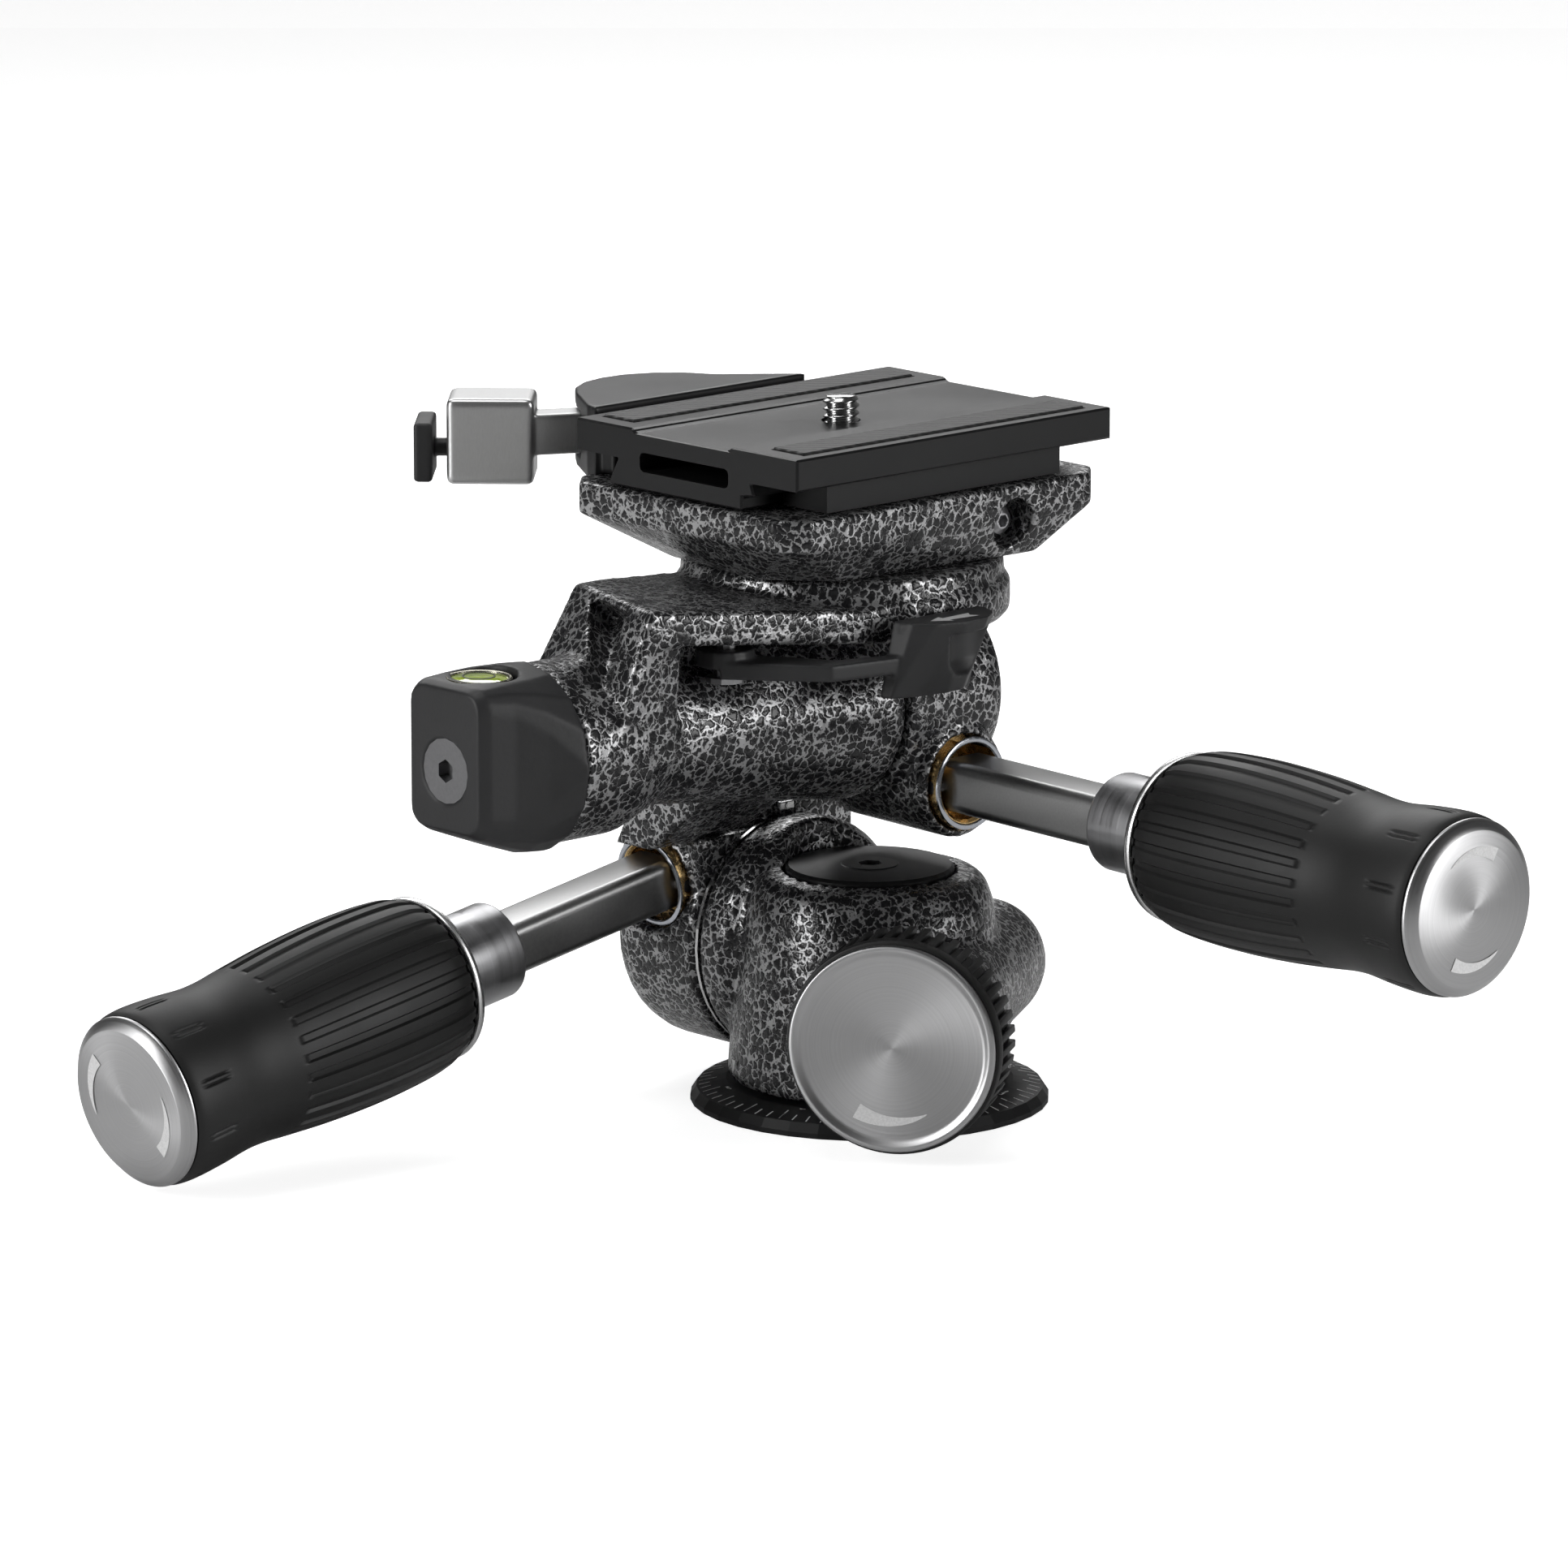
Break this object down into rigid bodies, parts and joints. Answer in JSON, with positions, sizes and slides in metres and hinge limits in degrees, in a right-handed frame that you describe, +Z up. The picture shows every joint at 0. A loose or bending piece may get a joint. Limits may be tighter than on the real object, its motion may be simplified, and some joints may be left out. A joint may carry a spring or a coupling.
{
  "type": "three way pan tilt head",
  "caption": "Compact three way pan tilt head for a camera, with two folding handles, a pan knob, a level and a lever clamp with a quick release plate.",
  "frame": {"origin": "under the middle of the head's outline, on the plane that the base ring stands on; the pan axis is 50.85 mm along +X and 29.55 mm along +Y from it", "axes": "+Z up along the pan axis, +X along the front tilt axis towards the cap with the level handle, +Y towards the lens"},
  "size_m": [0.1754, 0.2014, 0.1216],
  "materials": {
    "hammertone": "gloss hammered enamel, black cells in a grey vein network",
    "black_anodised": "satin black anodised",
    "black_plastic": "fine grained black",
    "rubber": "matt",
    "spun_aluminium": "bright spun",
    "brushed_steel": "brushed",
    "satin_steel": "dark satin",
    "brass": "polished",
    "level_fluid": "clear yellow green"
  },
  "bodies": {
    "base": {"base_ring": "black_anodised", "pan_axle": "brushed_steel", "pan_cap": "black_anodised", "cap_screw": "black_anodised"},
    "pan_housing": {"pan_housing": "hammertone", "pan_bush_lower": "black_plastic", "pan_bush_upper": "black_plastic", "pan_clamp_anchor": "brass", "roll_shaft": "brushed_steel", "roll_washer": "spun_aluminium", "rear_cap": "hammertone", "rear_cap_screw": "brushed_steel"},
    "pan_knob": {"pan_knob": "rubber", "pan_knob_face": "spun_aluminium", "pan_knob_stud": "brushed_steel"},
    "pan_clamp_shoe": {"pan_clamp_shoe": "brass"},
    "middle_body": {"middle_body": "hammertone", "roll_bush": "black_plastic", "roll_index": "spun_aluminium", "left_clamp_anchor": "brass", "nod_shaft": "brushed_steel"},
    "left_clamp_shoe": {"left_clamp_shoe": "brass"},
    "left_bush": {"left_bush": "brass", "left_pivot_pin": "brushed_steel"},
    "left_handle": {"left_shaft": "satin_steel", "left_collar": "brushed_steel", "left_ring": "spun_aluminium", "left_grip": "rubber", "left_end_cap": "spun_aluminium"},
    "upper_body": {"upper_body": "hammertone", "right_cap": "hammertone", "nod_bush_left": "black_plastic", "nod_bush_right": "black_plastic", "level_housing": "black_plastic", "level_vial": "level_fluid", "axis_screw": "brushed_steel", "right_clamp_anchor": "brass", "lever_pin": "brushed_steel", "swivel_bolt": "brushed_steel"},
    "right_clamp_shoe": {"right_clamp_shoe": "brass"},
    "right_bush": {"right_bush": "brass", "right_pivot_pin": "brushed_steel"},
    "right_handle": {"right_shaft": "satin_steel", "right_collar": "brushed_steel", "right_ring": "spun_aluminium", "right_grip": "rubber", "right_end_cap": "spun_aluminium"},
    "swivel_lever": {"swivel_lever": "black_anodised"},
    "platform": {"platform": "hammertone", "platform_screw": "brushed_steel", "fixed_jaw": "black_anodised", "clamp_body": "black_plastic", "clamp_pivot_pin": "brushed_steel"},
    "moving_jaw": {"moving_jaw": "black_anodised"},
    "clamp_lever": {"clamp_lever": "spun_aluminium"},
    "safety_catch": {"safety_catch": "black_plastic"},
    "qr_plate": {"qr_plate": "black_anodised", "rubber_strip_front": "rubber", "rubber_strip_back": "rubber"},
    "camera_screw": {"camera_screw": "brushed_steel"}
  },
  "joints": [
    {"name": "pan", "type": "hinge", "parent": "base", "child": "pan_housing", "pos_m": [0.05085, 0.02955, 0], "axis": [0, 0, 1], "continuous": true},
    {"name": "pan_knob_turn", "type": "hinge", "parent": "pan_housing", "child": "pan_knob", "pos_m": [0.05896, 0.01692, 0.0202], "axis": [-0.8415, -0.5402, 0], "range_deg": [-180, 0]},
    {"name": "pan_shoe_slide", "type": "slide", "parent": "pan_housing", "child": "pan_clamp_shoe", "axis": [-0.8415, -0.5402, 0], "range_m": [-0.00085, 0]},
    {"name": "roll", "type": "hinge", "parent": "pan_housing", "child": "middle_body", "pos_m": [0.05085, 0.02955, 0.0255], "axis": [0, 1, 0], "range_deg": [-60, 12]},
    {"name": "left_twist", "type": "hinge", "parent": "middle_body", "child": "left_bush", "pos_m": [0.03035, 0.06255, 0.0354], "axis": [-0.986, 0, -0.1668], "range_deg": [-90, 0]},
    {"name": "left_shoe_slide", "type": "slide", "parent": "middle_body", "child": "left_clamp_shoe", "axis": [-0.986, 0, -0.1668], "range_m": [-0.00085, 0]},
    {"name": "left_fold", "type": "hinge", "parent": "left_bush", "child": "left_handle", "pos_m": [0.03213, 0.06255, 0.0357], "axis": [0, -1, 0], "range_deg": [0, 32]},
    {"name": "nod", "type": "hinge", "parent": "middle_body", "child": "upper_body", "pos_m": [0.05085, 0.03655, 0.0692], "axis": [1, 0, 0], "range_deg": [-65, 8]},
    {"name": "right_twist", "type": "hinge", "parent": "upper_body", "child": "right_bush", "pos_m": [0.06235, 0.01705, 0.0552], "axis": [0, -0.9998, -0.0175], "range_deg": [-90, 0]},
    {"name": "right_shoe_slide", "type": "slide", "parent": "upper_body", "child": "right_clamp_shoe", "axis": [0, -0.9998, -0.0175], "range_m": [-0.00085, 0]},
    {"name": "right_fold", "type": "hinge", "parent": "right_bush", "child": "right_handle", "pos_m": [0.06235, 0.01885, 0.05523], "axis": [-1, 0, 0], "range_deg": [0, 44]},
    {"name": "swivel_lever", "type": "hinge", "parent": "upper_body", "child": "swivel_lever", "pos_m": [0.01285, 0.02455, 0], "axis": [0, 0, 1], "range_deg": [-40, 0]},
    {"name": "swivel", "type": "hinge", "parent": "upper_body", "child": "platform", "pos_m": [0.05085, 0.03655, 0], "axis": [0, 0, 1], "continuous": true},
    {"name": "clamp_lever", "type": "hinge", "parent": "platform", "child": "clamp_lever", "pos_m": [0.04135, 0.06935, 0], "axis": [0, 0, 1], "range_deg": [-60, 0]},
    {"name": "jaw_slide", "type": "slide", "parent": "platform", "child": "moving_jaw", "axis": [0, 1, 0], "range_m": [0, 0.0025]},
    {"name": "catch_press", "type": "slide", "parent": "clamp_lever", "child": "safety_catch", "axis": [-0.7104, 0.7037, 0], "range_m": [-0.0018, 0], "stiffness_N_per_m": 300},
    {"name": "plate_slide", "type": "slide", "parent": "platform", "child": "qr_plate", "axis": [1, 0, 0], "range_m": [-0.02, 0.02]},
    {"name": "camera_screw_turn", "type": "hinge", "parent": "qr_plate", "child": "camera_screw", "pos_m": [0.04855, 0.03445, 0], "axis": [0, 0, 1], "continuous": true}
  ],
  "couplings": [
    {"joint": "pan_shoe_slide", "follows": "pan_knob_turn", "m_per_rad": 0.00025465},
    {"joint": "left_shoe_slide", "follows": "left_twist", "m_per_rad": 0.0005093},
    {"joint": "right_shoe_slide", "follows": "right_twist", "m_per_rad": 0.0005093},
    {"joint": "jaw_slide", "follows": "clamp_lever", "m_per_rad": -0.0022918}
  ]
}
